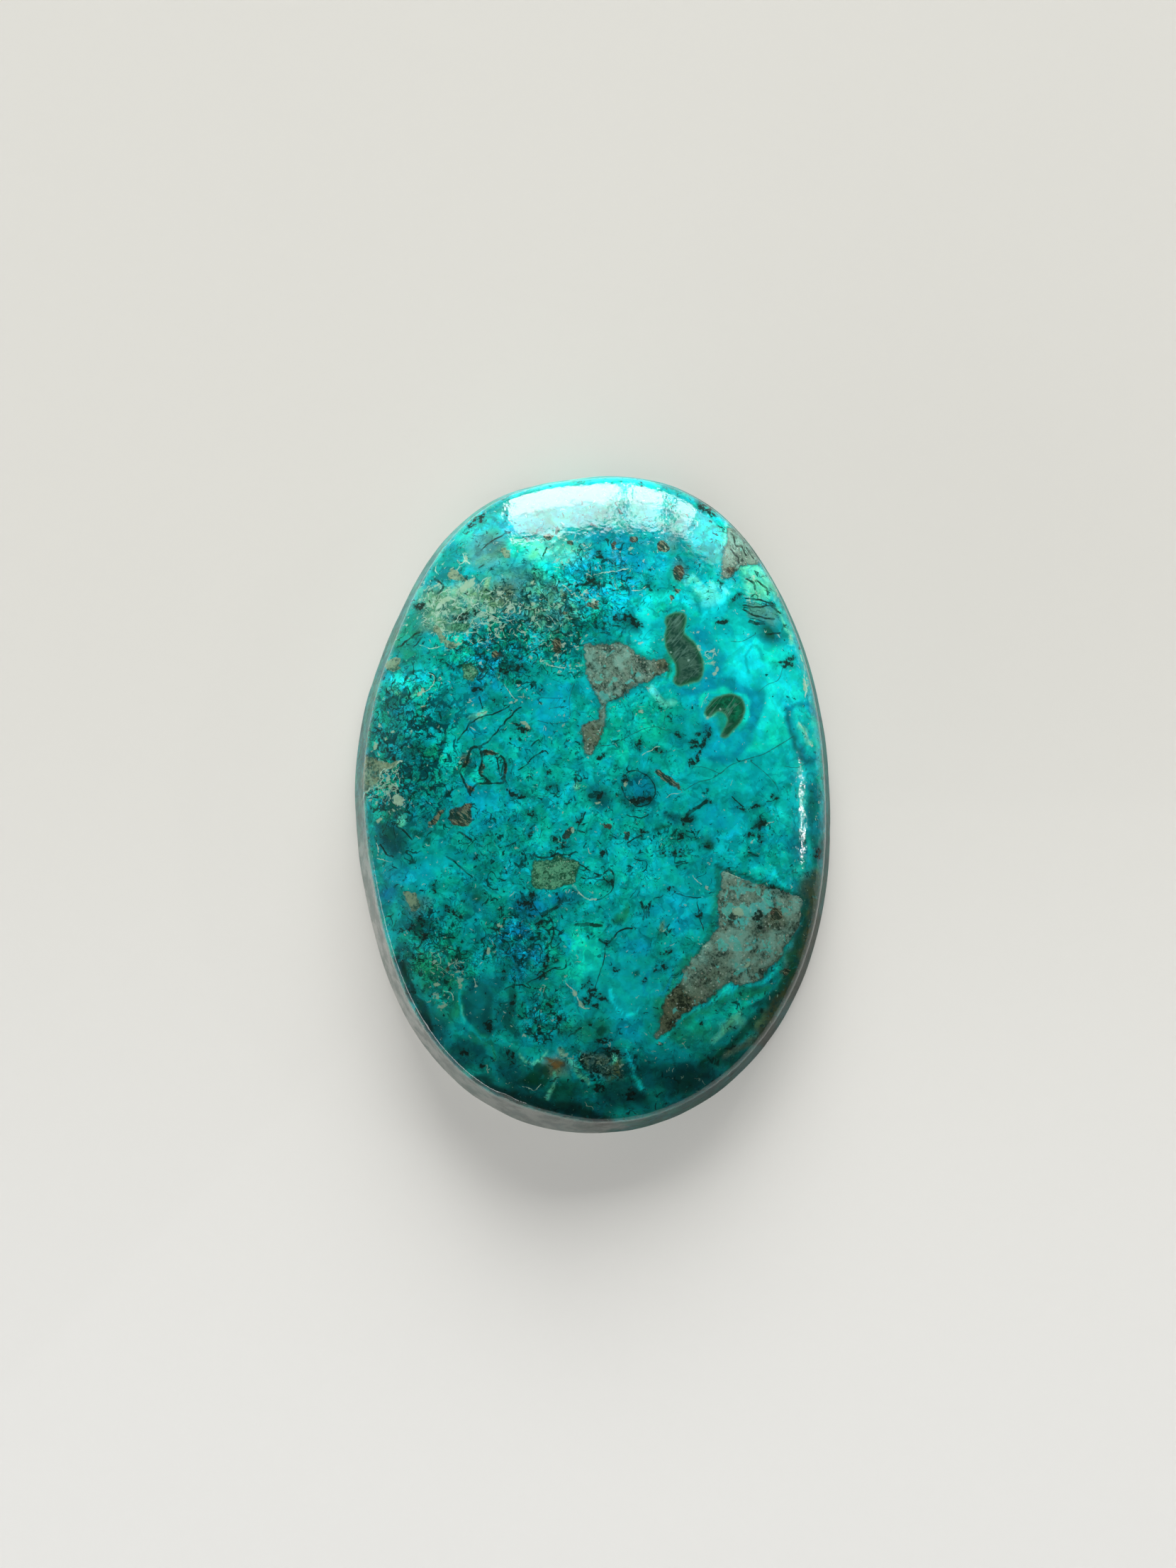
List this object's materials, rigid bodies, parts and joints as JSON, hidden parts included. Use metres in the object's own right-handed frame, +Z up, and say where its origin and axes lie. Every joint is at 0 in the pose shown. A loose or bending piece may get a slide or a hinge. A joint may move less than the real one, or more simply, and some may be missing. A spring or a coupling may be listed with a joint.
{
  "type": "chrysocolla specimen",
  "caption": "Hand-cut oval of polished chrysocolla: a low domed face on a leaning wall, with a flat back to rest on.",
  "frame": {"origin": "under the middle of the stone, in the plane of its flat back", "axes": "+Z up out of the domed face, +Y along the stone's length, +X across its width"},
  "size_m": [0.0316, 0.044, 0.007],
  "materials": {
    "chrysocolla": "polished"
  },
  "bodies": {
    "root": {"polished_stone": "chrysocolla"}
  },
  "joints": []
}
